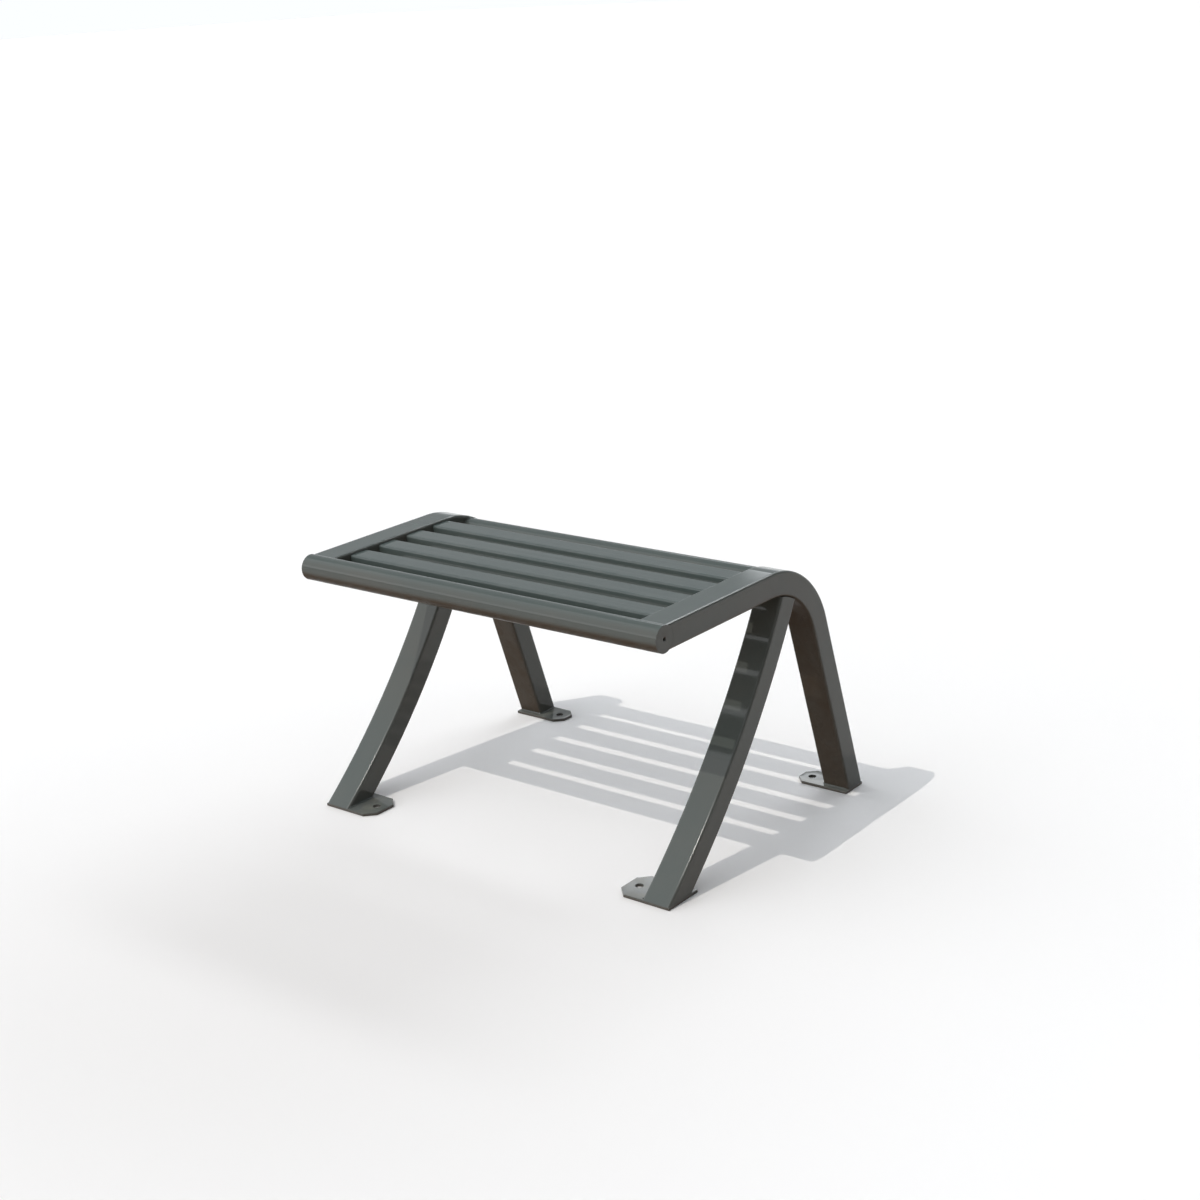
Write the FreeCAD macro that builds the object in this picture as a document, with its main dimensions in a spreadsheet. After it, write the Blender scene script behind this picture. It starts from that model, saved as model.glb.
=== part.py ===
import FreeCAD, Part
import math
import os
import Sketcher

# Welded outdoor stool: two bent side tubes carry a slatted seat and end as the
# rear legs, two curved front legs stand under the bends, and each foot has an
# anchor plate. X runs across the seat, Y from front to back, Z up.
# The origin is on the floor, under the middle of the stool's outline.

# Driving dimensions, in millimetres and degrees
DIMENSIONS = {
    "seat_width": 720.0,
    "seat_height": 440.0,
    "frame_depth": 553.0,
    "tube_width": 50.0,
    "tube_depth": 40.0,
    "tube_wall": 2.5,
    "tube_corner": 4.0,
    "bend_radius": 140.0,
    "rear_lean": 17.5,
    "front_leg_radius": 1380.0,
    "front_leg_angle": 12.3,
    "rail_diameter": 42.4,
    "rail_wall": 2.6,
    "rear_rail_angle": 24.8,
    "rear_rail_recess": 2.0,
    "slat_width": 40.0,
    "slat_depth": 20.0,
    "slat_wall": 2.0,
    "slat_corner": 4.0,
    "slat_recess": 4.7,
    "front_gap": 21.4,
    "rear_gap": 33.3,
    "plate_length": 102.0,
    "plate_thickness": 5.0,
    "front_plate_depth": 73.0,
    "front_plate_setback": 3.5,
    "front_plate_chamfer": 17.0,
    "rear_plate_depth": 51.0,
    "rear_plate_chamfer": 14.5,
    "anchor_diameter": 13.0,
    "anchor_inset": 82.0,
    "cap_thickness": 4.0,
    "cap_vent": 6.0,
    "weld_gap": 0.1,
    "cut_overrun": 6.0,
}
SLAT_COUNT = 4

# Sizes that follow from the driving dimensions
RAIL_Y = "((dims.rail_diameter - dims.frame_depth) / 2)"
RAIL_Z = "(dims.seat_height - dims.tube_depth / 2)"
BEND_Z = f"({RAIL_Z} - dims.bend_radius)"
BEND_RISE = f"({BEND_Z} - dims.plate_thickness)"
REAR_REACH = f"(dims.bend_radius + dims.tube_depth / 2 + {BEND_RISE} * sin(dims.rear_lean))"
BEND_Y = f"(dims.frame_depth / 2 - {REAR_REACH} / cos(dims.rear_lean))"
SEAT_RUN = f"({BEND_Y} - {RAIL_Y})"
TUBE_X = "((dims.seat_width - dims.tube_width) / 2)"
INNER_WIDTH = "(dims.seat_width - 2 * dims.tube_width)"
FRONT_PLATE_Y = "(dims.front_plate_setback + dims.front_plate_depth / 2 - dims.frame_depth / 2)"
REAR_PLATE_Y = "(dims.frame_depth / 2 - dims.rear_plate_depth / 2)"
REAR_RAIL_DROP = "(dims.rear_rail_recess + (dims.rail_diameter - dims.tube_depth) / 2)"
REAR_RAIL_ORBIT = f"(dims.bend_radius - {REAR_RAIL_DROP})"
REAR_RAIL_Y = f"({BEND_Y} + {REAR_RAIL_ORBIT} * sin(dims.rear_rail_angle))"
REAR_RAIL_Z = f"({BEND_Z} + {REAR_RAIL_ORBIT} * cos(dims.rear_rail_angle))"
SLAT_SPAN = f"({REAR_RAIL_Y} - {RAIL_Y} - dims.rail_diameter - dims.front_gap - dims.rear_gap)"
SLAT_GAP = f"(({SLAT_SPAN} - {SLAT_COUNT} * dims.slat_width) / {SLAT_COUNT - 1})"
SLAT_Z = "(dims.seat_height - dims.slat_recess - dims.slat_depth / 2)"

# The front leg's curve: an arc of its front face from the foot to the underside of the bend
FOOT_Y = "(dims.front_plate_setback - dims.frame_depth / 2)"
UNDER_RADIUS = "(dims.bend_radius - dims.tube_depth / 2)"
LEG_REACH = f"({BEND_Y} + {UNDER_RADIUS} * sin(dims.front_leg_angle) - {FOOT_Y})"
LEG_RISE = f"({BEND_RISE} + {UNDER_RADIUS} * cos(dims.front_leg_angle))"
LEG_FRONT_RADIUS = "(dims.front_leg_radius - dims.tube_depth / 2)"
LEG_SET = f"sqrt({LEG_FRONT_RADIUS}^2 / ({LEG_REACH}^2 + {LEG_RISE}^2) - 0.25)"
LEG_CENTRE_Y = f"({FOOT_Y} + {LEG_REACH} / 2 - {LEG_SET} * {LEG_RISE})"
LEG_CENTRE_Z = f"(dims.plate_thickness + {LEG_RISE} / 2 + {LEG_SET} * {LEG_REACH})"
LEG_FOOT_DROP = f"({LEG_CENTRE_Z} - dims.plate_thickness + dims.cut_overrun)"
LEG_FOOT_ANGLE = f"asin({LEG_FOOT_DROP} / {LEG_FRONT_RADIUS})"
LEG_TOP_ANGLE = f"asin(({LEG_CENTRE_Z} - {RAIL_Z}) / dims.front_leg_radius)"

# Sketch geometry: start and end of a curve, middle of an arc, the axes and the origin
START, END, MIDDLE = range(1, 4)
HORIZONTAL_AXIS, VERTICAL_AXIS = range(-1, -3, -1)
ORIGIN = (HORIZONTAL_AXIS, START)
QUARTER_TURN = math.pi / 2


def make_sheet(doc):
    sheet = doc.addObject("Spreadsheet::Sheet", "dims")
    for row, (alias, value) in enumerate(DIMENSIONS.items(), start=1):
        sheet.set(f"A{row}", alias)
        sheet.set(f"B{row}", str(value))
        sheet.setAlias(f"B{row}", alias)
    return sheet


def value_of(doc, expression):
    return float(doc.dims.evalExpression(expression.replace("dims.", "")))


def make_body(doc, label, position):
    body = doc.addObject("PartDesign::Body", label)
    body.Label = label
    for axis, expression in zip("xyz", position):
        body.setExpression(f"Placement.Base.{axis}", expression)
    return body


def make_sketch(body, name, plane, offset=(None, None, None)):
    sketch = body.newObject("Sketcher::SketchObject", name)
    support = next(item for item in body.Origin.OriginFeatures if item.Role == plane)
    sketch.AttachmentSupport = (support, "")
    sketch.MapMode = "FlatFace"
    for axis, expression in zip("xyz", offset):
        if expression:
            sketch.setExpression(f"AttachmentOffset.Base.{axis}", expression)
    return sketch


def dimension(sketch, kind, places, name, expression):
    """Adds a named dimension between the given places and binds it to the sheet."""
    value = value_of(sketch.Document, expression)
    index = sketch.addConstraint(Sketcher.Constraint(kind, *places, value))
    sketch.renameConstraint(index, name)
    sketch.setExpression(f"Constraints.{name}", expression)


def relate(sketch, kind, *places):
    sketch.addConstraint(Sketcher.Constraint(kind, *places))


def point(y, z):
    return FreeCAD.Vector(y, z, 0)


def axis_point(sketch, height):
    """Puts a point on the sketch's vertical axis at the given height."""
    index = sketch.addGeometry(Part.Point(point(0, value_of(sketch.Document, height))), True)
    relate(sketch, "PointOnObject", index, START, VERTICAL_AXIS)
    dimension(sketch, "DistanceY", (*ORIGIN, index, START), "height", height)
    return index


def rounded_rectangle(sketch, name, width, depth, corner, height):
    """Draws a rectangle with round corners about a point of the vertical axis."""
    doc = sketch.Document
    centre = axis_point(sketch, height)
    middle = value_of(doc, height)
    half_width = value_of(doc, width) / 2
    half_depth = value_of(doc, depth) / 2
    radius = value_of(doc, corner)
    inner_x = half_width - radius
    inner_y = half_depth - radius
    turns = [(1, -1), (1, 1), (-1, 1), (-1, -1)]
    sides = []
    corners = []
    for quarter, (right, up) in enumerate(turns):
        past = turns[quarter - 1]
        if quarter % 2 == 0:
            ends = [(past[0] * inner_x, up * half_depth), (right * inner_x, up * half_depth)]
        else:
            ends = [(right * half_width, past[1] * inner_y), (right * half_width, up * inner_y)]
        line = Part.LineSegment(*[point(x, middle + y) for x, y in ends])
        sides.append(sketch.addGeometry(line, False))
        turn = point(right * inner_x, middle + up * inner_y)
        circle = Part.Circle(turn, FreeCAD.Vector(0, 0, 1), radius)
        arc = Part.ArcOfCircle(circle, (quarter - 1) * QUARTER_TURN, quarter * QUARTER_TURN)
        corners.append(sketch.addGeometry(arc, False))
    for quarter in range(4):
        relate(sketch, "Tangent", sides[quarter], END, corners[quarter], START)
        relate(sketch, "Tangent", corners[quarter], END, sides[(quarter + 1) % 4], START)
        relate(sketch, "Horizontal" if quarter % 2 == 0 else "Vertical", sides[quarter])
    for other in corners[1:]:
        relate(sketch, "Equal", corners[0], other)
    relate(sketch, "Symmetric", sides[0], START, sides[2], START, centre, START)
    dimension(sketch, "Radius", (corners[0],), f"{name}_corner", corner)
    dimension(sketch, "DistanceX", (sides[3], START, sides[1], START), f"{name}_width", width)
    dimension(sketch, "DistanceY", (sides[0], START, sides[2], START), f"{name}_depth", depth)


def tube_section(sketch, size, height="0"):
    """Draws a rectangular tube's outside and bore about a point of the vertical axis."""
    words = ("width", "depth", "wall", "corner")
    width, depth, wall, corner = (f"dims.{size}_{word}" for word in words)
    rounded_rectangle(sketch, "outside", width, depth, corner, height)
    right = f"({width} / 2 - {wall})"
    left = f"-{right}"
    low = f"{height} - {depth} / 2 + {wall}"
    high = f"{height} + {depth} / 2 - {wall}"
    outline(sketch, "bore", [(left, low), (right, low), (right, high), (left, high)])


def circle_at(sketch, name, centre, diameter):
    """Draws a circle whose centre is measured from the sketch's origin."""
    doc = sketch.Document
    x, y = (value_of(doc, expression) for expression in centre)
    circle = Part.Circle(point(x, y), FreeCAD.Vector(0, 0, 1), value_of(doc, diameter) / 2)
    index = sketch.addGeometry(circle, False)
    dimension(sketch, "DistanceX", (*ORIGIN, index, MIDDLE), f"{name}_x", centre[0])
    dimension(sketch, "DistanceY", (*ORIGIN, index, MIDDLE), f"{name}_y", centre[1])
    dimension(sketch, "Diameter", (index,), f"{name}_diameter", diameter)


def outline(sketch, name, corners):
    """Draws a closed outline of straight sides, each corner measured from the sketch's origin."""
    doc = sketch.Document
    spots = [point(*(value_of(doc, expression) for expression in corner)) for corner in corners]
    count = len(spots)
    lines = []
    for index, spot in enumerate(spots):
        lines.append(sketch.addGeometry(Part.LineSegment(spot, spots[(index + 1) % count]), False))
    for index, line in enumerate(lines):
        relate(sketch, "Coincident", line, END, lines[(index + 1) % count], START)
        dimension(sketch, "DistanceX", (*ORIGIN, line, START), f"{name}_x{index}", corners[index][0])
        dimension(sketch, "DistanceY", (*ORIGIN, line, START), f"{name}_y{index}", corners[index][1])


def cut_through(body, name, sketch):
    """Cuts the sketch through the whole body, both ways, and proves that something was cut."""
    body.Document.recompute()
    before = body.Shape.Volume
    pocket = body.newObject("PartDesign::Pocket", name)
    pocket.Profile = sketch
    pocket.SideType = "Symmetric"
    pocket.Type = "ThroughAll"
    body.Document.recompute()
    if not body.Shape.Volume < before:
        raise RuntimeError(f"{body.Label}: {name} removed nothing")


def cut_at_plate(body):
    """Cuts a leg level with its base plate's top; the body's origin is at the bend's centre."""
    sketch = make_sketch(body, "plate_cut_sketch", "YZ_Plane")
    top = f"dims.plate_thickness - {BEND_Z}"
    bottom = f"{top} - dims.tube_depth - 2 * dims.cut_overrun"
    front = "-dims.frame_depth"
    back = "dims.frame_depth"
    outline(sketch, "below", [(front, bottom), (back, bottom), (back, top), (front, top)])
    cut_through(body, "plate_cut", sketch)


def bend_run(sketch, name, radius, leg_length=None):
    """Draws the side tube's run about the bend's centre: seat, bend and, if wanted, rear leg."""
    doc = sketch.Document
    run = value_of(doc, SEAT_RUN)
    size = value_of(doc, radius)
    lean = math.radians(value_of(doc, "dims.rear_lean"))
    seat = sketch.addGeometry(Part.LineSegment(point(-run, size), point(0, size)), False)
    circle = Part.Circle(point(0, 0), FreeCAD.Vector(0, 0, 1), size)
    bend = sketch.addGeometry(Part.ArcOfCircle(circle, lean, QUARTER_TURN), False)
    relate(sketch, "Coincident", bend, MIDDLE, *ORIGIN)
    relate(sketch, "Tangent", seat, END, bend, END)
    relate(sketch, "Horizontal", seat)
    dimension(sketch, "Radius", (bend,), f"{name}_radius", radius)
    dimension(sketch, "DistanceX", (seat, START, seat, END), f"{name}_run", SEAT_RUN)
    bend_end = f"({radius}) * sin(dims.rear_lean)"
    dimension(sketch, "DistanceY", (*ORIGIN, bend, START), f"{name}_end", bend_end)
    if leg_length is None:
        return seat, bend
    start = sketch.Geometry[bend].StartPoint
    length = value_of(doc, leg_length)
    down = FreeCAD.Vector(start.y, -start.x, 0).normalize() * length
    leg = sketch.addGeometry(Part.LineSegment(start, start + down), False)
    relate(sketch, "Tangent", bend, START, leg, START)
    dimension(sketch, "Distance", (leg, START, leg, END), f"{name}_leg", leg_length)
    return seat, bend


def make_side_tube(doc, label, side):
    body = make_body(doc, label, (f"{side} * {TUBE_X}", BEND_Y, BEND_Z))
    leg_rise = f"({BEND_Z} + dims.bend_radius * sin(dims.rear_lean) - dims.plate_thickness)"
    leg_length = f"({leg_rise} / cos(dims.rear_lean) + dims.tube_depth / 2 + dims.cut_overrun)"
    path = make_sketch(body, "path", "YZ_Plane")
    bend_run(path, "path", "dims.bend_radius", leg_length)
    section = make_sketch(body, "section", "XZ_Plane", (None, "dims.bend_radius", SEAT_RUN))
    tube_section(section, "tube")
    doc.recompute()
    pipe = body.newObject("PartDesign::AdditivePipe", "bent_tube")
    pipe.Profile = section
    pipe.Spine = path
    doc.recompute()
    cut_at_plate(body)
    cope = make_sketch(body, "rail_cope_sketch", "YZ_Plane")
    cope_diameter = "dims.rail_diameter + 2 * dims.weld_gap"
    circle_at(cope, "rail", (f"-{SEAT_RUN}", "dims.bend_radius"), cope_diameter)
    cut_through(body, "rail_cope", cope)
    return body


def make_front_leg(doc, label, side):
    body = make_body(doc, label, (f"{side} * {TUBE_X}", BEND_Y, BEND_Z))
    arc_centre = (None, f"{LEG_CENTRE_Y} - {BEND_Y}", f"{LEG_CENTRE_Z} - {BEND_Z}")
    section = make_sketch(body, "section", "XY_Plane", arc_centre)
    section.AttachmentOffset.Rotation.Axis = FreeCAD.Vector(1, 0, 0)
    section.setExpression("AttachmentOffset.Rotation.Angle", f"-{LEG_FOOT_ANGLE}")
    tube_section(section, "tube", "dims.front_leg_radius")
    doc.recompute()
    leg = body.newObject("PartDesign::Revolution", "curved_tube")
    leg.Profile = section
    leg.ReferenceAxis = (section, ["H_Axis"])
    leg.setExpression("Angle", f"{LEG_FOOT_ANGLE} - {LEG_TOP_ANGLE}")
    doc.recompute()
    cut_at_plate(body)
    cut_under_bend(body)
    return body


def cut_under_bend(body):
    """Shapes the front leg's top to the underside of the side tube."""
    sketch = make_sketch(body, "bend_cope_sketch", "YZ_Plane")
    under = bend_run(sketch, "under", f"{UNDER_RADIUS} - dims.weld_gap")
    over = bend_run(sketch, "over", "dims.bend_radius + dims.frame_depth")
    for inner, outer in zip(under, over):
        start, end = (sketch.Geometry[curve].StartPoint for curve in (inner, outer))
        line = sketch.addGeometry(Part.LineSegment(start, end), False)
        relate(sketch, "Coincident", line, START, inner, START)
        relate(sketch, "Coincident", line, END, outer, START)
    cut_through(body, "bend_cope", sketch)


def make_rail(doc, label, length, position):
    body = make_body(doc, label, position)
    section = make_sketch(body, "section", "YZ_Plane")
    circle_at(section, "outside", ("0", "0"), "dims.rail_diameter")
    circle_at(section, "bore", ("0", "0"), "dims.rail_diameter - 2 * dims.rail_wall")
    pad_across(body, "tube", section, length)
    return body


def make_cap(doc, label, side):
    place = f"{side} * (dims.seat_width - dims.cap_thickness) / 2"
    body = make_body(doc, label, (place, RAIL_Y, RAIL_Z))
    section = make_sketch(body, "section", "YZ_Plane")
    rim = "dims.rail_diameter - 2 * dims.rail_wall - 2 * dims.weld_gap"
    circle_at(section, "rim", ("0", "0"), rim)
    circle_at(section, "vent", ("0", "0"), "dims.cap_vent")
    pad_across(body, "disc", section, "dims.cap_thickness")
    return body


def make_slat(doc, label, number):
    first = f"{RAIL_Y} + (dims.rail_diameter + dims.slat_width) / 2 + dims.front_gap"
    middle = f"{first} + {number - 1} * (dims.slat_width + {SLAT_GAP})"
    body = make_body(doc, label, ("0", middle, SLAT_Z))
    section = make_sketch(body, "section", "YZ_Plane")
    tube_section(section, "slat")
    pad_across(body, "tube", section, INNER_WIDTH)
    return body


def pad_across(body, name, section, length):
    """Extends a section drawn across the seat to both sides."""
    pad = body.newObject("PartDesign::Pad", name)
    pad.Profile = section
    pad.SideType = "Symmetric"
    pad.setExpression("Length", length)


def make_base_plate(doc, label, side, end, middle):
    body = make_body(doc, label, (f"{side} * dims.seat_width / 2", middle, "0"))
    long = f"{-side} * dims.plate_length"
    shoulder = f"{-side} * (dims.plate_length - dims.{end}_plate_chamfer)"
    edge = f"dims.{end}_plate_depth / 2"
    nose = f"({edge} - dims.{end}_plate_chamfer)"
    sketch = make_sketch(body, "plan", "XY_Plane")
    near = [("0", f"-{edge}"), (shoulder, f"-{edge}"), (long, f"-{nose}")]
    far = [(long, nose), (shoulder, edge), ("0", edge)]
    outline(sketch, "rim", near + far)
    circle_at(sketch, "anchor", (f"{-side} * dims.anchor_inset", "0"), "dims.anchor_diameter")
    pad = body.newObject("PartDesign::Pad", "plate")
    pad.Profile = sketch
    pad.setExpression("Length", "dims.plate_thickness")
    return body


def make_stool(doc):
    bodies = [
        make_rail(doc, "front_rail", "dims.seat_width", ("0", RAIL_Y, RAIL_Z)),
        make_rail(doc, "rear_rail", INNER_WIDTH, ("0", REAR_RAIL_Y, REAR_RAIL_Z)),
    ]
    for number in range(1, SLAT_COUNT + 1):
        bodies.append(make_slat(doc, f"slat_{number}", number))
    for name, side in (("left", -1), ("right", 1)):
        bodies.append(make_side_tube(doc, f"{name}_side_tube", side))
        bodies.append(make_front_leg(doc, f"{name}_front_leg", side))
        bodies.append(make_cap(doc, f"front_rail_{name}_cap", side))
        bodies.append(make_base_plate(doc, f"{name}_front_base_plate", side, "front", FRONT_PLATE_Y))
        bodies.append(make_base_plate(doc, f"{name}_rear_base_plate", side, "rear", REAR_PLATE_Y))
    return bodies


def check(doc, bodies):
    for item in doc.Objects:
        if "Invalid" in item.State or "Error" in item.State:
            raise RuntimeError(f"{item.Label} failed: {item.State}")
    for body in bodies:
        if body.Shape.isNull() or not body.Shape.isValid():
            raise RuntimeError(f"{body.Label} has no valid shape")


def main():
    doc = FreeCAD.newDocument("stool")
    make_sheet(doc)
    doc.recompute()
    bodies = make_stool(doc)
    doc.recompute()
    check(doc, bodies)
    os.makedirs("parts", exist_ok=True)
    for body in bodies:
        body.Shape.exportStep(f"parts/{body.Label}.step")
        box = body.Shape.optimalBoundingBox(False)
        size = " x ".join(f"{side:.1f}" for side in (box.XLength, box.YLength, box.ZLength))
        print(f"{body.Label}: {size} mm, {len(body.Shape.Solids)} solid")


main()
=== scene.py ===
import math

import bmesh
import bpy
from mathutils import Matrix, Vector


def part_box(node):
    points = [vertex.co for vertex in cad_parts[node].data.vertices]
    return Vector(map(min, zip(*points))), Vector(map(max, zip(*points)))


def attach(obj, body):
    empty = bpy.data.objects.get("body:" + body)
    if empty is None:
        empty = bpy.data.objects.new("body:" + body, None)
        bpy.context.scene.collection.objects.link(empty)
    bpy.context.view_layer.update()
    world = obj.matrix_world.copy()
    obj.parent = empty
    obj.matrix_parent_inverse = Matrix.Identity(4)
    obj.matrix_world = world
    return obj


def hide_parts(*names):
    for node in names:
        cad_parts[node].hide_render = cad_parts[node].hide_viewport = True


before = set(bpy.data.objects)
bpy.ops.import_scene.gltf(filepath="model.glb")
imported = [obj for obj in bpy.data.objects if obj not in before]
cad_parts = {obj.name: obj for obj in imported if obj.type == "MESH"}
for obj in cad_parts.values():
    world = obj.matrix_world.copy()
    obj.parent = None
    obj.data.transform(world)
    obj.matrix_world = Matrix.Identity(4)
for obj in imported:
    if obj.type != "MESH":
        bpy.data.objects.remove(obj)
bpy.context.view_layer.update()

# The stool's own sizes, in metres
TUBE_WIDTH = 0.050
TUBE_DEPTH = 0.040
TUBE_CORNER = 0.004
SLAT_CORNER = 0.004
SLATS = range(1, 5)
BEND_RADIUS = 0.140
REAR_LEAN = math.radians(17.5)
LEG_RADIUS = 1.380
LEG_ARRIVAL = math.radians(12.3)
LEG_SEAM = 0.0005
RAIL_WALL = 0.0026
RAIL_RIM = 0.0004
VENT_RADIUS = 0.0026
VENT_RIM = 0.0016
PLATE_CHAMFERS = {"front": 0.017, "rear": 0.0145}
PLATE_EDGE = 0.0006
ANCHOR_RADIUS = 0.0065
ANCHOR_INSET = 0.082

# Weld beads: radius, how far they swell, and degrees that the front rail's bead goes up and down
WELD_SIZE = 0.0017
SLAT_WELD_SIZE = 0.0013
WELD_RIPPLE = 0.08
RAIL_WELD_REACH = 47.0

# Facets: corners of tubes, rounds of rails, steps along the bent tubes, plates and beads
CORNER_STEPS = 6
SIDE_CUTS = 9
SLAT_SIDE_CUTS = 1
RAIL_STEPS = 96
RIM_STEPS = 3
BEND_STEPS = 40
LEG_STEPS = 36
PLATE_CUTS = 7
PLATE_EDGE_STEPS = 2
BEAD_SIDES = 10
BEAD_STEP = 0.0008
RIPPLE_STEPS = 3
ARC_STEPS = 24
TURN_STEPS = 6

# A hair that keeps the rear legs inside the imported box, and distances that count as none
HAIR = 0.000001
SAME_PLACE = 0.000001
SAME_RIM = 0.00001

# Directions and angles
ORIGIN = (0.0, 0.0, 0.0)
NO_MOVE = (0.0, 0.0, 0.0)
ACROSS = (1.0, 0.0, 0.0)
RIGHT_ANGLE = math.pi / 2

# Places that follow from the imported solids
rail_low, rail_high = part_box("front_rail")
RAIL_RADIUS = (rail_high.z - rail_low.z) / 2
RAIL_Y = (rail_low.y + rail_high.y) / 2
RAIL_Z = (rail_low.z + rail_high.z) / 2
side_low, side_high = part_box("right_side_tube")
TUBE_X = (side_low.x + side_high.x) / 2
PLATE_TOP = side_low.z
BEND_Z = RAIL_Z - BEND_RADIUS
REAR_REACH = BEND_RADIUS + TUBE_DEPTH / 2 + (BEND_Z - PLATE_TOP) * math.sin(REAR_LEAN)
BEND_Y = side_high.y - HAIR - REAR_REACH / math.cos(REAR_LEAN)
UNDER_RADIUS = BEND_RADIUS - TUBE_DEPTH / 2 - LEG_SEAM
FOOT_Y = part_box("right_front_base_plate")[0].y


def leg_arc_centre():
    """Centre of the front legs' arc, from the foot and from where the front face meets the bend."""
    front_radius = LEG_RADIUS - TUBE_DEPTH / 2
    under = BEND_RADIUS - TUBE_DEPTH / 2
    reach = BEND_Y + under * math.sin(LEG_ARRIVAL) - FOOT_Y
    rise = BEND_Z - PLATE_TOP + under * math.cos(LEG_ARRIVAL)
    lift = math.sqrt(front_radius ** 2 / (reach ** 2 + rise ** 2) - 1 / 4)
    return FOOT_Y + reach / 2 - lift * rise, PLATE_TOP + rise / 2 + lift * reach


LEG_Y, LEG_Z = leg_arc_centre()


def leg_top_angle(radius):
    """How far below level an arc round the leg's centre meets the underside of the bend."""
    reach = math.hypot(BEND_Y - LEG_Y, LEG_Z - BEND_Z)
    aim = math.atan2(LEG_Z - BEND_Z, BEND_Y - LEG_Y)
    return aim - math.acos((reach ** 2 + radius ** 2 - UNDER_RADIUS ** 2) / (2 * reach * radius))


# Finishes

# Noises in the paint, each with its scale and detail
NOISE_ROUGHNESS = 0.55
MOTTLE = (7.0, 3.0)
BLOTCH = (38.0, 5.0)
PEEL = (620.0, 2.0)
GRAIN = (2600.0, 1.0)
RUBBING = (1.0, 5.0)
RUBBING_STRETCH = (4.0, 320.0, 320.0)

# Which range of a noise brings a layer on, and how far the layer then covers
WHOLE = (0.0, 1.0)
REVERSED = (1.0, 0.0)
MOTTLE_RANGE = (0.3, 0.7)
# How far the mottle brings on the painted warm side reflection, times each paint's share
SIDE_REFLECTION_LEAST = 0.7
SIDE_REFLECTION_MOST = 1.3
# Which range of blotch brings on the painted brown underside shade, and how far it covers
GRIME_AND_SHADE_RANGE = (0.2, 0.8)
GRIME_AND_SHADE_COVER = (0.75, 1.0)
DUST_RANGE = (0.35, 0.75)
WEAR_RANGE = (0.35, 0.7)
WEAR_COVER = (0.05, 0.3)
STREAK_RANGE = (0.45, 0.75)

# Colours of the layers
# Painted warm reflection on upright faces, standing in for warm surroundings seen in the paint
SIDE_REFLECTION_COLOUR = (0.108, 0.088, 0.072)
# Painted brown shade on faces that look down, standing in for warm ground bounce and reflection
UNDERSIDE_SHADE_COLOUR = (0.090, 0.070, 0.052)
DUST_COLOUR = (0.25, 0.24, 0.19)
EDGE_COLOUR = (0.15, 0.165, 0.16)

# Gloss of clean paint, what each layer adds to its roughness, and the fine skin of sprayed paint
GLOSS_RANGE = (0.3, 0.72)
PAINT_ROUGHNESS = (0.03, 0.07)
STREAK_ROUGHNESS = 0.06
DUST_ROUGHNESS = 0.25
EDGE_ROUGHNESS = 0.12
GRIME_ROUGHNESS = 0.3
SHINE_UNDER_GRIME = (0.35, 0.02)
GRAIN_SHARE = 0.2
SKIN_STRENGTH = 0.12
SKIN_HEIGHT = 0.00003


def link(tree, start, end):
    """Joins an output to an input."""
    tree.links.new(start, end)


def add_node(tree, kind, **settings):
    """A new node with its settings."""
    node = tree.nodes.new(kind)
    for name, value in settings.items():
        setattr(node, name, value)
    return node


def noise(tree, vector, scale, detail):
    """Soft noise from 0 to 1."""
    node = add_node(tree, "ShaderNodeTexNoise")
    node.inputs["Scale"].default_value = scale
    node.inputs["Detail"].default_value = detail
    node.inputs["Roughness"].default_value = NOISE_ROUGHNESS
    link(tree, vector, node.inputs["Vector"])
    return node.outputs["Fac"]


def stretch(tree, vector, scale):
    """Coordinates scaled by a different amount each way."""
    node = add_node(tree, "ShaderNodeMapping")
    node.inputs["Scale"].default_value = scale
    link(tree, vector, node.inputs["Vector"])
    return node.outputs["Vector"]


def remap(tree, value, source, target):
    """Takes one range smoothly to another."""
    node = add_node(tree, "ShaderNodeMapRange", interpolation_type="SMOOTHSTEP")
    link(tree, value, node.inputs["Value"])
    names = ("From Min", "From Max", "To Min", "To Max")
    for name, number in zip(names, (*source, *target)):
        node.inputs[name].default_value = number
    return node.outputs["Result"]


def combine(tree, operation, first, second):
    """One step of arithmetic on outputs or numbers."""
    node = add_node(tree, "ShaderNodeMath", operation=operation)
    for socket, value in zip(node.inputs, (first, second)):
        if isinstance(value, (int, float)):
            socket.default_value = value
        else:
            link(tree, value, socket)
    return node.outputs["Value"]


def mix_colour(tree, factor, first, second):
    """Goes from one colour to another by a factor."""
    node = add_node(tree, "ShaderNodeMix", data_type="RGBA")
    link(tree, factor, node.inputs["Factor"])
    sockets = [item for item in node.inputs if item.type == "RGBA"]
    for socket, value in zip(sockets, (first, second)):
        if isinstance(value, tuple):
            socket.default_value = (*value, 1.0)
        else:
            link(tree, value, socket)
    return next(item for item in node.outputs if item.type == "RGBA")


def start_material(name):
    """A new material, its node tree and its shader."""
    material = bpy.data.materials.new(name)
    material.use_nodes = True
    tree = material.node_tree
    return material, tree, tree.nodes["Principled BSDF"]


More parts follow.
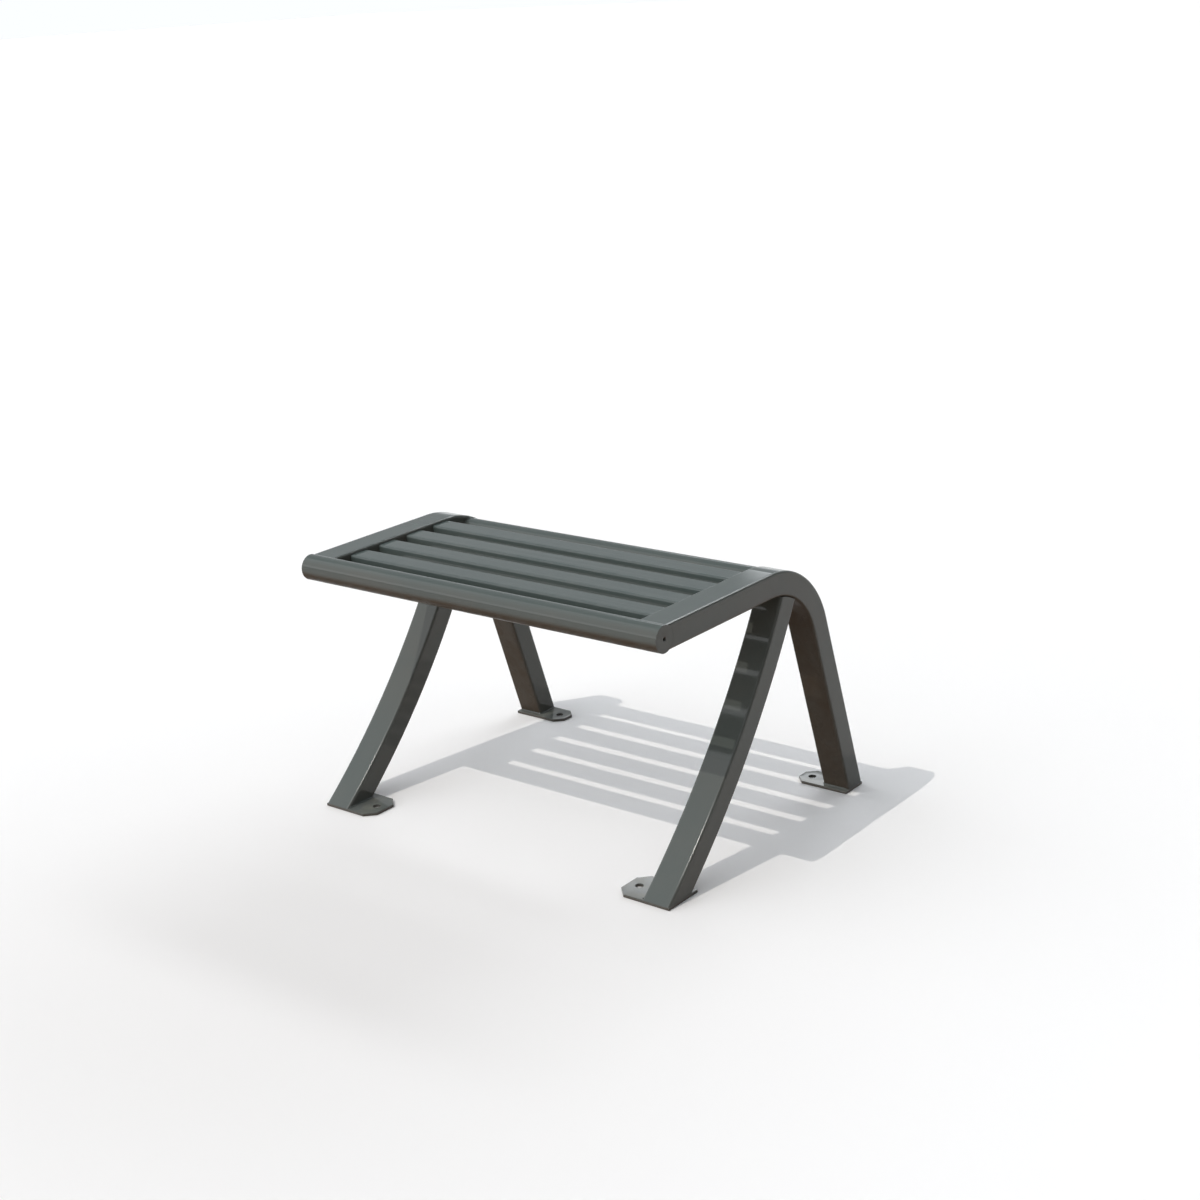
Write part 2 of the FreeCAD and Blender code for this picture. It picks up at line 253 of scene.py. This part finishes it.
def paint(name, colour, lighter, side_reflection_share, dust_share, streak_share):
    """Sprayed paint: mottled, with a painted warm reflection on the sides, a painted brown shade
    with dirt's roughness below, dust on top and rubbed edges.
    """
    material, tree, shader = start_material(name)
    place = add_node(tree, "ShaderNodeTexCoord").outputs["Object"]
    marks = add_node(tree, "ShaderNodeAttribute", attribute_name="finish")
    parts = add_node(tree, "ShaderNodeSeparateColor")
    link(tree, marks.outputs["Color"], parts.inputs["Color"])
    edge, underside_shade, top = parts.outputs

    mottle = noise(tree, place, *MOTTLE)
    blotch = noise(tree, place, *BLOTCH)
    peel = noise(tree, place, *PEEL)
    grain = noise(tree, place, *GRAIN)
    rubbed = noise(tree, stretch(tree, place, RUBBING_STRETCH), *RUBBING)

    # Upright faces get a mottled painted warm reflection
    upright = combine(tree, "SUBTRACT", 1.0, top)
    side_reflection_cover = (SIDE_REFLECTION_LEAST * side_reflection_share, SIDE_REFLECTION_MOST * side_reflection_share)
    painted_side_reflection = combine(tree, "MULTIPLY", upright, remap(tree, mottle, MOTTLE_RANGE, side_reflection_cover))
    # Faces that look down get a painted brown shade, which is also rougher and duller
    grime_and_shade = combine(tree, "MULTIPLY", underside_shade, remap(tree, blotch, GRIME_AND_SHADE_RANGE, GRIME_AND_SHADE_COVER))
    dust = combine(tree, "MULTIPLY", top, remap(tree, blotch, DUST_RANGE, (0.0, dust_share)))
    wear = combine(tree, "MULTIPLY", edge, remap(tree, blotch, WEAR_RANGE, WEAR_COVER))
    streak = combine(tree, "MULTIPLY", top, remap(tree, rubbed, STREAK_RANGE, (0.0, streak_share)))

    tone = mix_colour(tree, remap(tree, mottle, MOTTLE_RANGE, WHOLE), colour, lighter)
    layers = ((painted_side_reflection, SIDE_REFLECTION_COLOUR), (grime_and_shade, UNDERSIDE_SHADE_COLOUR), (dust, DUST_COLOUR),
              (wear, EDGE_COLOUR), (streak, EDGE_COLOUR))
    for amount, layer_colour in layers:
        tone = mix_colour(tree, amount, tone, layer_colour)
    link(tree, tone, shader.inputs["Base Color"])

    rough = remap(tree, blotch, GLOSS_RANGE, PAINT_ROUGHNESS)
    additions = ((streak, STREAK_ROUGHNESS), (dust, DUST_ROUGHNESS),
                 (edge, EDGE_ROUGHNESS), (grime_and_shade, GRIME_ROUGHNESS))
    for amount, added in additions:
        rough = combine(tree, "ADD", rough, combine(tree, "MULTIPLY", amount, added))
    link(tree, rough, shader.inputs["Roughness"])
    shine = remap(tree, grime_and_shade, WHOLE, SHINE_UNDER_GRIME)
    link(tree, shine, shader.inputs["Specular IOR Level"])

    skin = combine(tree, "ADD", peel, combine(tree, "MULTIPLY", grain, GRAIN_SHARE))
    bump = add_node(tree, "ShaderNodeBump")
    bump.inputs["Strength"].default_value = SKIN_STRENGTH
    bump.inputs["Distance"].default_value = SKIN_HEIGHT
    link(tree, skin, bump.inputs["Height"])
    link(tree, bump.outputs["Normal"], shader.inputs["Normal"])
    return material


FRAME_PAINT = paint("frame_paint", (0.079, 0.100, 0.096), (0.087, 0.108, 0.103),
                    side_reflection_share=0.3, dust_share=0.03, streak_share=0.05)
SLAT_PAINT = paint("slat_paint", (0.076, 0.100, 0.097), (0.084, 0.108, 0.104),
                   side_reflection_share=0.05, dust_share=0.03, streak_share=0.22)
# The plates' paint is a lighter copy of the frame's, a painted sheen for their bright tops, and
# dustier on top
PLATE_PAINT = paint("plate_paint", (0.112, 0.126, 0.120), (0.124, 0.134, 0.127),
                    side_reflection_share=0.3, dust_share=0.35, streak_share=0.0)


# Shaping

# Turns between faces where smooth shading ends, an edge is sharp, and rounding starts and is full
SMOOTH_ANGLE = math.radians(40)
SHARP_TURN = math.radians(60)
ROUND_START = math.radians(9)
ROUND_FULL = math.radians(13)

# The widest face of a rounded edge, and how far up a face looks where a mark starts and is full
EDGE_WIDTH = 0.0012
# How far down a face looks where the painted underside shade starts and is full
UNDERSIDE_SHADE_START = 0.0
UNDERSIDE_SHADE_FULL = -1 / 3
TOP_START = 0.6
TOP_FULL = 0.9

# How strongly large faces lead the shading of their corners
NORMAL_WEIGHT = 80


def share_between(value, start, full):
    """How far a value has come from start to full, as 0 to 1."""
    return min(max((value - start) / (full - start), 0.0), 1.0)


def rounding(vert):
    """How far a vertex lies on a rounded edge, leaving out sharp ends."""
    turns = [edge.calc_face_angle(0.0) for edge in vert.link_edges]
    turn = max((turn for turn in turns if turn < SHARP_TURN), default=0.0)
    return share_between(turn, ROUND_START, ROUND_FULL)


def mark_finish(bm):
    """Notes on each face's corners how far it is a rounded edge, looks down, and looks up."""
    layer = bm.loops.layers.float_color.new("finish")
    bm.normal_update()
    for face in bm.faces:
        longest = max(edge.calc_length() for edge in face.edges)
        narrow = face.calc_area() < EDGE_WIDTH * longest
        for loop in face.loops:
            around = [other.normal for other in loop.vert.link_faces]
            near = [normal for normal in around if normal.angle(face.normal, 0.0) < SMOOTH_ANGLE]
            height = sum(near, Vector()).normalized().z
            edge = rounding(loop.vert) if narrow else 0.0
            underside_shade = share_between(height, UNDERSIDE_SHADE_START, UNDERSIDE_SHADE_FULL)
            top = share_between(height, TOP_START, TOP_FULL)
            loop[layer] = (edge, underside_shade, top, 1.0)


def add_object(name, data):
    """A new object in the scene."""
    made = bpy.data.objects.new(name, data)
    bpy.context.scene.collection.objects.link(made)
    return made


def finish_piece(bm, name, material, node=None):
    """Turns a shaped mesh into a piece of the stool."""
    bmesh.ops.remove_doubles(bm, verts=bm.verts, dist=SAME_PLACE)
    bmesh.ops.recalc_face_normals(bm, faces=bm.faces)
    mark_finish(bm)
    mesh = bpy.data.meshes.new(name)
    bm.to_mesh(mesh)
    bm.free()
    mesh.polygons.foreach_set("use_smooth", [True] * len(mesh.polygons))
    mesh.set_sharp_from_angle(angle=SMOOTH_ANGLE)
    mesh.materials.append(material)
    piece = add_object(name, mesh)
    weights = piece.modifiers.new("even_normals", "WEIGHTED_NORMAL")
    weights.keep_sharp = True
    weights.weight = NORMAL_WEIGHT
    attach(piece, "root")
    if node:
        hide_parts(node)


def verts_in(items):
    """The vertices among what an operator made."""
    return [item for item in items if isinstance(item, bmesh.types.BMVert)]


def edges_in(items):
    """The edges among what an operator made."""
    return [item for item in items if isinstance(item, bmesh.types.BMEdge)]


def verts_of(edges):
    """The vertices of a loop of edges, each once."""
    return list({vert for edge in edges for vert in edge.verts})


def edges_of(verts):
    """The edges at some vertices, each once."""
    return list({edge for vert in verts for edge in vert.link_edges})


def rise_of(edge):
    """How much higher one end of an edge is than the other."""
    return abs(edge.verts[0].co.z - edge.verts[1].co.z)


def section_loop(bm, width, depth, corner, side_cuts):
    """A rounded rectangle in the XZ plane, as a closed loop of edges."""
    half_width = width / 2
    half_depth = depth / 2
    spots = [(-half_width, -half_depth), (half_width, -half_depth),
             (half_width, half_depth), (-half_width, half_depth)]
    face = bm.faces.new([bm.verts.new((x, 0.0, z)) for x, z in spots])
    bmesh.ops.bevel(bm, geom=face.verts[:], offset=corner, offset_type="OFFSET",
                    segments=CORNER_STEPS, profile=0.5, affect="VERTICES", material=-1)
    bmesh.ops.delete(bm, geom=bm.faces[:], context="FACES_ONLY")
    upright = [edge for edge in bm.edges if rise_of(edge) > half_depth]
    bmesh.ops.subdivide_edges(bm, edges=upright, cuts=side_cuts)
    return bm.edges[:]


def pull_loop(bm, edges, move):
    """Extends an open tube by one ring and gives the new ring's edges."""
    made = bmesh.ops.extrude_edge_only(bm, edges=edges)["geom"]
    bmesh.ops.translate(bm, verts=verts_in(made), vec=move)
    return [edge for edge in edges_in(made) if edge.is_boundary]


def close_end(bm, edges, middle_x=0.0):
    """Closes a tube's end with strips across it."""
    left = [edge for edge in edges if all(vert.co.x < middle_x for vert in edge.verts)]
    right = [edge for edge in edges if all(vert.co.x > middle_x for vert in edge.verts)]
    bmesh.ops.bridge_loops(bm, edges=left + right)


def make_side_tube(side, name):
    """The bent tube: seat side, bend and rear leg, coped to the rail and cut level at the plate."""
    bm = bmesh.new()
    first = section_loop(bm, TUBE_WIDTH, TUBE_DEPTH, TUBE_CORNER, SIDE_CUTS)
    bmesh.ops.translate(bm, verts=bm.verts[:], vec=(side * TUBE_X, RAIL_Y, RAIL_Z))
    start = verts_of(first)
    loop = pull_loop(bm, first, (0.0, BEND_Y - RAIL_Y, 0.0))
    bend = bmesh.ops.spin(bm, geom=loop, cent=(0.0, BEND_Y, BEND_Z), axis=ACROSS, dvec=NO_MOVE,
                          angle=-(RIGHT_ANGLE - REAR_LEAN), steps=BEND_STEPS)
    last = pull_loop(bm, edges_in(bend["geom_last"]), NO_MOVE)
    slope = math.tan(REAR_LEAN)
    for vert in verts_of(last):
        drop = vert.co.z - PLATE_TOP
        vert.co += Vector((0.0, drop * slope, -drop))
    for vert in start:
        vert.co.y = RAIL_Y + math.sqrt(RAIL_RADIUS ** 2 - (vert.co.z - RAIL_Z) ** 2)
    close_end(bm, first, side * TUBE_X)
    close_end(bm, last, side * TUBE_X)
    finish_piece(bm, f"side_tube.{name}", FRAME_PAINT, f"{name}_side_tube")


def make_front_leg(side, name):
    """The curved tube from the front plate to the underside of the bend."""
    bm = bmesh.new()
    first = section_loop(bm, TUBE_WIDTH, TUBE_DEPTH, TUBE_CORNER, SIDE_CUTS)
    foot_angle = math.asin((LEG_Z - PLATE_TOP) / LEG_RADIUS)
    turn = foot_angle - leg_top_angle(LEG_RADIUS)
    for vert in bm.verts:
        radius = LEG_RADIUS + vert.co.z
        y = LEG_Y + radius * math.cos(foot_angle)
        z = LEG_Z - radius * math.sin(foot_angle)
        vert.co = (side * TUBE_X + vert.co.x, y, z)
    spun = bmesh.ops.spin(bm, geom=first, cent=(0.0, LEG_Y, LEG_Z), axis=ACROSS, dvec=NO_MOVE,
                          angle=turn, steps=LEG_STEPS)
    last = edges_in(spun["geom_last"])
    for vert in bm.verts:
        radius = math.hypot(vert.co.y - LEG_Y, vert.co.z - LEG_Z)
        share = (foot_angle - math.atan2(LEG_Z - vert.co.z, vert.co.y - LEG_Y)) / turn
        low = math.asin((LEG_Z - PLATE_TOP) / radius)
        angle = low + (leg_top_angle(radius) - low) * share
        vert.co.y = LEG_Y + radius * math.cos(angle)
        vert.co.z = LEG_Z - radius * math.sin(angle)
    close_end(bm, first, side * TUBE_X)
    close_end(bm, last, side * TUBE_X)
    finish_piece(bm, f"front_leg.{name}", FRAME_PAINT, f"{name}_front_leg")


def make_slat(number):
    """A flat tube across the seat."""
    low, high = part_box(f"slat_{number}")
    size = high - low
    bm = bmesh.new()
    first = section_loop(bm, size.y, size.z, SLAT_CORNER, SLAT_SIDE_CUTS)
    last = pull_loop(bm, first, (0.0, size.x, 0.0))
    close_end(bm, first)
    close_end(bm, last)
    bmesh.ops.translate(bm, verts=bm.verts, vec=(0.0, -size.x / 2, 0.0))
    turn = Matrix.Rotation(RIGHT_ANGLE, 3, "Z")
    bmesh.ops.rotate(bm, verts=bm.verts, cent=ORIGIN, matrix=turn)
    bmesh.ops.translate(bm, verts=bm.verts, vec=(low + high) / 2)
    finish_piece(bm, f"slat.{number}", SLAT_PAINT, f"slat_{number}")


def ring_across(bm, outer, inner, low_x, high_x):
    """A thick ring or tube along X, as faces round the X axis."""
    bmesh.ops.create_circle(bm, cap_ends=True, radius=outer, segments=RAIL_STEPS)
    bmesh.ops.inset_region(bm, faces=bm.faces[:], thickness=outer - inner,
                           use_boundary=True, use_even_offset=True)
    middle = min(bm.faces, key=lambda face: face.calc_center_median().length)
    bmesh.ops.delete(bm, geom=[middle], context="FACES")
    turn = Matrix.Rotation(RIGHT_ANGLE, 3, "Y")
    bmesh.ops.rotate(bm, verts=bm.verts, cent=ORIGIN, matrix=turn)
    bmesh.ops.translate(bm, verts=bm.verts, vec=(low_x, 0.0, 0.0))
    made = bmesh.ops.extrude_face_region(bm, geom=bm.faces[:])["geom"]
    bmesh.ops.translate(bm, verts=verts_in(made), vec=(high_x - low_x, 0.0, 0.0))


def rim_edges(bm, radius, ends):
    """The edges of the round rims of that radius at the given places along X."""
    found = []
    for edge in bm.edges:
        spots = [vert.co for vert in edge.verts]
        if all(abs(math.hypot(spot.y, spot.z) - radius) < SAME_RIM for spot in spots):
            if any(all(abs(spot.x - end) < SAME_RIM for spot in spots) for end in ends):
                found.append(edge)
    return found


def soften(bm, edges, width, steps):
    """Rounds some edges."""
    bmesh.ops.bevel(bm, geom=edges, offset=width, offset_type="OFFSET", segments=steps,
                    profile=0.5, affect="EDGES", material=-1)


def set_in_box(bm, low, high):
    """Moves a ring from the X axis to the middle of its node's box."""
    bmesh.ops.translate(bm, verts=bm.verts, vec=(0.0, (low.y + high.y) / 2, (low.z + high.z) / 2))


def make_rail(node, name):
    """A round tube across the stool."""
    low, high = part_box(node)
    bm = bmesh.new()
    ring_across(bm, RAIL_RADIUS, RAIL_RADIUS - RAIL_WALL, low.x, high.x)
    soften(bm, rim_edges(bm, RAIL_RADIUS, (low.x, high.x)), RAIL_RIM, RIM_STEPS)
    set_in_box(bm, low, high)
    finish_piece(bm, f"rail.{name}", FRAME_PAINT, node)


def make_cap(side, name):
    """The disc in the front rail's end, with its vent."""
    node = f"front_rail_{name}_cap"
    low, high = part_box(node)
    face = high.x if side > 0 else low.x
    bm = bmesh.new()
    ring_across(bm, RAIL_RADIUS - RAIL_WALL, VENT_RADIUS, low.x, high.x)
    soften(bm, rim_edges(bm, VENT_RADIUS, (face,)), VENT_RIM, RIM_STEPS)
    set_in_box(bm, low, high)
    finish_piece(bm, f"rail_cap.{name}", FRAME_PAINT, node)


def make_base_plate(side, name, end):
    """A plate with two cut corners and an anchor hole."""
    node = f"{name}_{end}_base_plate"
    low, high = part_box(node)
    chamfer = PLATE_CHAMFERS[end]
    outer, inner = (high.x, low.x) if side > 0 else (low.x, high.x)
    cut = inner + side * chamfer
    spots = [(outer, low.y), (cut, low.y), (inner, low.y + chamfer),
             (inner, high.y - chamfer), (cut, high.y), (outer, high.y)]
    bm = bmesh.new()
    bm.faces.new([bm.verts.new((x, y, low.z)) for x, y in spots])
    bmesh.ops.delete(bm, geom=bm.faces[:], context="FACES_ONLY")
    bmesh.ops.subdivide_edges(bm, edges=bm.edges[:], cuts=PLATE_CUTS)
    rim = bm.edges[:]
    anchor_x = side * (abs(outer) - ANCHOR_INSET)
    place = Matrix.Translation((anchor_x, (low.y + high.y) / 2, low.z))
    hole = bmesh.ops.create_circle(bm, cap_ends=False, radius=ANCHOR_RADIUS,
                                   segments=len(rim), matrix=place)["verts"]
    bmesh.ops.bridge_loops(bm, edges=rim + edges_of(hole))
    made = bmesh.ops.extrude_face_region(bm, geom=bm.faces[:])["geom"]
    bmesh.ops.translate(bm, verts=verts_in(made), vec=(0.0, 0.0, high.z - low.z))
    bmesh.ops.recalc_face_normals(bm, faces=bm.faces)
    sharp = [edge for edge in bm.edges if edge.calc_face_angle(0.0) > SHARP_TURN]
    level = [edge for edge in sharp if rise_of(edge) < SAME_PLACE]
    soften(bm, level, PLATE_EDGE, PLATE_EDGE_STEPS)
    finish_piece(bm, f"base_plate.{end}.{name}", PLATE_PAINT, node)


def even_stops(points):
    """Stops at even distances along a line of points."""
    stops = []
    for start, end in zip(points, points[1:]):
        count = max(1, round((end - start).length / BEAD_STEP))
        stops += [start.lerp(end, index / count) for index in range(count)]
    return stops + [points[-1]]


def lay_bead(bm, points, size):
    """A rippled weld bead along a line of points, closed where the line comes back to its start."""
    closed = (points[-1] - points[0]).length < SAME_PLACE
    stops = even_stops(points)
    if closed:
        stops.pop()
    places = []
    for index, stop in enumerate(stops):
        before = stops[index - 1] if index or closed else stop
        after = stops[(index + 1) % len(stops)] if index + 1 < len(stops) or closed else stop
        turn = (after - before).to_track_quat("Z", "Y").to_matrix().to_4x4()
        swell = 1.0 + WELD_RIPPLE * math.sin(2 * math.pi * index / RIPPLE_STEPS)
        places.append(Matrix.Translation(stop) @ turn @ Matrix.Scale(size * swell, 4))
    ring = bmesh.ops.create_circle(bm, cap_ends=not closed, radius=1.0, segments=BEAD_SIDES,
                                   matrix=places[0])["verts"]
    first = edges_of(ring)
    loop = first
    for before, after in zip(places, places[1:]):
        made = bmesh.ops.extrude_edge_only(bm, edges=loop)["geom"]
        moved = verts_in(made)
        bmesh.ops.transform(bm, matrix=after @ before.inverted(), space=Matrix.Identity(4),
                            verts=moved)
        fresh = set(moved)
        loop = [edge for edge in edges_in(made) if fresh.issuperset(edge.verts)]
    if closed:
        bmesh.ops.bridge_loops(bm, edges=first + loop)
    else:
        bmesh.ops.contextual_create(bm, geom=loop)


def quarter_turn(centre, start, end):
    """Points on a quarter circle in the plate's plane, from one arm to the other."""
    angles = [RIGHT_ANGLE * index / TURN_STEPS for index in range(TURN_STEPS + 1)]
    return [centre + start * math.cos(angle) + end * math.sin(angle) for angle in angles]


def tube_faces(side):
    """X of a side tube's inner and outer face."""
    return side * (TUBE_X - TUBE_WIDTH / 2), side * (TUBE_X + TUBE_WIDTH / 2)


def foot_line(side, free_y, far_y):
    """The line of a foot's weld: across the tube's free end, round the corner, along the inside."""
    inner, outer = tube_faces(side)
    way = 1.0 if far_y > free_y else -1.0
    centre = Vector((inner + side * TUBE_CORNER, free_y + way * TUBE_CORNER, PLATE_TOP))
    to_free_end = Vector((0.0, -way * TUBE_CORNER, 0.0))
    to_inside = Vector((-side * TUBE_CORNER, 0.0, 0.0))
    start = Vector((outer - side * TUBE_CORNER, free_y, PLATE_TOP))
    end = Vector((inner, far_y - way * TUBE_CORNER, PLATE_TOP))
    return [start, *quarter_turn(centre, to_free_end, to_inside), end]


def rail_line(x, rail_y, rail_z, start, end):
    """Points round a rail at one place along it, between two angles in degrees."""
    points = []
    for index in range(ARC_STEPS + 1):
        angle = math.radians(start + (end - start) * index / ARC_STEPS)
        y = rail_y + RAIL_RADIUS * math.cos(angle)
        z = rail_z + RAIL_RADIUS * math.sin(angle)
        points.append(Vector((x, y, z)))
    return points


def make_weld(name, lines, size=WELD_SIZE):
    """One piece of painted beads, a bead for each line of points."""
    bm = bmesh.new()
    for points in lines:
        lay_bead(bm, points, size)
    finish_piece(bm, f"weld.{name}", FRAME_PAINT)


def make_welds(side, name):
    """Weld beads on one side of the stool: feet, leg top, slats and rails."""
    inner, outer = tube_faces(side)
    leg_faces = (LEG_RADIUS - TUBE_DEPTH / 2, LEG_RADIUS + TUBE_DEPTH / 2)

    back_y = LEG_Y + math.sqrt(leg_faces[1] ** 2 - (LEG_Z - PLATE_TOP) ** 2)
    make_weld(f"front_foot.{name}", [foot_line(side, back_y, FOOT_Y)])

    front_y = side_high.y - TUBE_DEPTH / math.cos(REAR_LEAN)
    make_weld(f"rear_foot.{name}", [foot_line(side, front_y, side_high.y)])

    leg_tops = []
    for radius in leg_faces:
        angle = leg_top_angle(radius)
        y = LEG_Y + radius * math.cos(angle)
        z = LEG_Z - radius * math.sin(angle)
        ends = (inner + side * TUBE_CORNER, outer - side * TUBE_CORNER)
        leg_tops.append([Vector((x, y, z)) for x in ends])
    make_weld(f"leg_top.{name}", leg_tops)

    slat_ends = []
    for number in SLATS:
        low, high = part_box(f"slat_{number}")
        ends = (low.y + SLAT_CORNER, high.y - SLAT_CORNER)
        slat_ends.append([Vector((inner, y, low.z)) for y in ends])
    make_weld(f"slats.{name}", slat_ends, SLAT_WELD_SIZE)

    low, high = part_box("rear_rail")
    rear = rail_line(inner, (low.y + high.y) / 2, (low.z + high.z) / 2, 0.0, 360.0)
    front = rail_line(inner, RAIL_Y, RAIL_Z, -RAIL_WELD_REACH, RAIL_WELD_REACH)
    make_weld(f"rails.{name}", [rear, front])


for side, name in ((-1, "left"), (1, "right")):
    make_side_tube(side, name)
    make_front_leg(side, name)
    make_cap(side, name)
    make_base_plate(side, name, "front")
    make_base_plate(side, name, "rear")
    make_welds(side, name)
for number in SLATS:
    make_slat(number)
make_rail("front_rail", "front")
make_rail("rear_rail", "rear")


# Floor, light and camera

# The floor is painted a little greyer in front of the stool as a soft painted shade, and throws
# light back on it as paving does
FLOOR_HALF = 60.0
FLOOR_DROP = 0.0003
FLOOR_SHADE_COLOUR = (0.893, 0.884, 0.877)
FLOOR_FAR_COLOUR = (1.0, 1.0, 1.0)
FLOOR_SHADE_PLACE = (0.0, -0.8, 0.0)
FLOOR_SHADE_REACH = (0.0, 1.4)
PAVING_COLOUR = (0.40, 0.32, 0.26)

# The dome's tint, its strength away from +X and towards it, and the heights where the horizon ends
SKY_COLOUR = (0.975, 1.0, 1.03)
DOME_STRENGTH = (0.46, 0.10)
DOME_TURN = (0.0, 0.8)
HORIZON = (0.045, 0.10)
LEVEL_SHARE = (1.0, 1.0, 0.0)

# Lights in the dome: strength, heights where it starts, is full, falls and ends, way to it, width
BROAD = (0.58, 0.82)
TO_SIDE_BOX = (-0.777, -0.63, 0.0)
LOW_SIDE_BOX = (0.72, (0.13, 0.19, 0.33, 0.40), TO_SIDE_BOX, BROAD)
TALL_SIDE_BOX = (0.98, (0.13, 0.19, 0.90, 0.97), TO_SIDE_BOX, BROAD)
KEY_BOX = (0.70, (0.66, 0.74, 0.90, 0.97), (0.63, -0.777, 0.0), BROAD)
LOW_STRIP = (2.7, (0.375, 0.392, 0.425, 0.49), (-0.32, 0.947, 0.0), (0.918, 0.941))
HIGH_STRIP = (8.5, (0.595, 0.615, 0.675, 0.69), (0.0, 1.0, 0.0), (0.88, 0.94))
REAR_PANEL = (1.8, (0.23, 0.29, 0.298, 0.304), (-0.342, 0.940, 0.0), (0.966, 0.971))
REAR_GLOW = (0.06, (0.22, 0.28, 0.33, 0.37), (-0.64, 0.768, 0.0), (0.80, 0.90))
DOME_LIGHTS = (LOW_SIDE_BOX, TALL_SIDE_BOX, LOW_STRIP, HIGH_STRIP, KEY_BOX, REAR_PANEL, REAR_GLOW)

SUN_STRENGTH = 1.0
SUN_WIDTH = math.radians(0.25)
SUN_COLOUR = (1.0, 0.94, 0.88)
SUN_TRAVEL = (0.214, 0.617, -1.0)

CAMERA_PLACE = (1.93358, -2.32744, 1.32749)
CAMERA_ELEVATION = math.radians(17.978)
CAMERA_AZIMUTH = math.radians(39.16)
CAMERA_ROLL = math.radians(-3.044)
CAMERA_LENS = 58.328
CAMERA_SENSOR = 36.0


def make_floor():
    """A pale floor that keeps the stool's shadow."""
    bm = bmesh.new()
    bmesh.ops.create_grid(bm, x_segments=1, y_segments=1, size=FLOOR_HALF)
    mesh = bpy.data.meshes.new("floor")
    bm.to_mesh(mesh)
    bm.free()
    mesh.transform(Matrix.Translation((0.0, 0.0, -FLOOR_DROP)))
    material, tree, shader = start_material("pale_floor")
    shader.inputs["Roughness"].default_value = 1.0
    shader.inputs["Specular IOR Level"].default_value = 0.0
    distance = add_node(tree, "ShaderNodeVectorMath", operation="DISTANCE")
    link(tree, add_node(tree, "ShaderNodeTexCoord").outputs["Object"], distance.inputs[0])
    distance.inputs[1].default_value = FLOOR_SHADE_PLACE
    # Painted soft shade: the floor is greyer around a spot in front of the stool
    away = remap(tree, distance.outputs["Value"], FLOOR_SHADE_REACH, WHOLE)
    tone = mix_colour(tree, away, FLOOR_SHADE_COLOUR, FLOOR_FAR_COLOUR)
    rays = add_node(tree, "ShaderNodeLightPath")
    tone = mix_colour(tree, rays.outputs["Is Diffuse Ray"], tone, PAVING_COLOUR)
    link(tree, tone, shader.inputs["Base Color"])
    mesh.materials.append(material)
    floor = add_object("floor", mesh)


def window(tree, value, rise_start, rise_end, fall_start, fall_end):
    """One inside a range, nothing outside, with soft ends."""
    rise = remap(tree, value, (rise_start, rise_end), WHOLE)
    fall = remap(tree, value, (fall_start, fall_end), REVERSED)
    return combine(tree, "MULTIPLY", rise, fall)


def facing(tree, level, way, width):
    """How far a level direction points a given way, as the width of a light with soft sides."""
    node = add_node(tree, "ShaderNodeVectorMath", operation="DOT_PRODUCT")
    link(tree, level, node.inputs[0])
    node.inputs[1].default_value = way
    return remap(tree, node.outputs["Value"], width, WHOLE)


def make_world():
    """A studio dome with a white horizon, soft boxes in front and strips and panels behind."""
    world = bpy.data.worlds.new("studio")
    world.use_nodes = True
    tree = world.node_tree
    back = tree.nodes["Background"]
    back.inputs["Color"].default_value = (*SKY_COLOUR, 1.0)
    place = add_node(tree, "ShaderNodeTexCoord").outputs["Generated"]
    split = add_node(tree, "ShaderNodeSeparateXYZ")
    link(tree, place, split.inputs["Vector"])
    height = split.outputs["Z"]
    flat = add_node(tree, "ShaderNodeVectorMath", operation="MULTIPLY")
    link(tree, place, flat.inputs[0])
    flat.inputs[1].default_value = LEVEL_SHARE
    unit = add_node(tree, "ShaderNodeVectorMath", operation="NORMALIZE")
    link(tree, flat.outputs["Vector"], unit.inputs[0])
    level = unit.outputs["Vector"]

    dome = remap(tree, facing(tree, level, ACROSS, DOME_TURN), WHOLE, DOME_STRENGTH)
    light = combine(tree, "MULTIPLY", dome, remap(tree, height, HORIZON, WHOLE))
    light = combine(tree, "ADD", light, remap(tree, height, HORIZON, REVERSED))
    for strength, heights, way, width in DOME_LIGHTS:
        box = combine(tree, "MULTIPLY", window(tree, height, *heights), strength)
        box = combine(tree, "MULTIPLY", box, facing(tree, level, way, width))
        light = combine(tree, "ADD", light, box)
    link(tree, light, back.inputs["Strength"])
    bpy.context.scene.world = world


def make_sun():
    """The sun, which gives the stool its crisp shadow."""
    lamp = bpy.data.lights.new("sun", "SUN")
    lamp.energy = SUN_STRENGTH
    lamp.angle = SUN_WIDTH
    lamp.color = SUN_COLOUR
    sun = add_object("sun", lamp)
    sun.rotation_euler = Vector(SUN_TRAVEL).to_track_quat("-Z", "Y").to_euler()


def make_camera():
    """The camera, at the photo's viewing angle."""
    level_reach = math.cos(CAMERA_ELEVATION)
    back = Vector((math.sin(CAMERA_AZIMUTH) * level_reach, -math.cos(CAMERA_AZIMUTH) * level_reach,
                   math.sin(CAMERA_ELEVATION)))
    level = Vector((math.cos(CAMERA_AZIMUTH), math.sin(CAMERA_AZIMUTH), 0.0))
    above = back.cross(level)
    right = level * math.cos(CAMERA_ROLL) + above * math.sin(CAMERA_ROLL)
    up = above * math.cos(CAMERA_ROLL) - level * math.sin(CAMERA_ROLL)
    turn = Matrix((right, up, back)).transposed().to_4x4()
    lens = bpy.data.cameras.new("camera")
    lens.lens = CAMERA_LENS
    lens.sensor_width = CAMERA_SENSOR
    camera = add_object("camera", lens)
    camera.matrix_world = Matrix.Translation(CAMERA_PLACE) @ turn
    bpy.context.scene.camera = camera


make_floor()
make_world()
make_sun()
make_camera()
bpy.context.scene.view_settings.view_transform = "Standard"
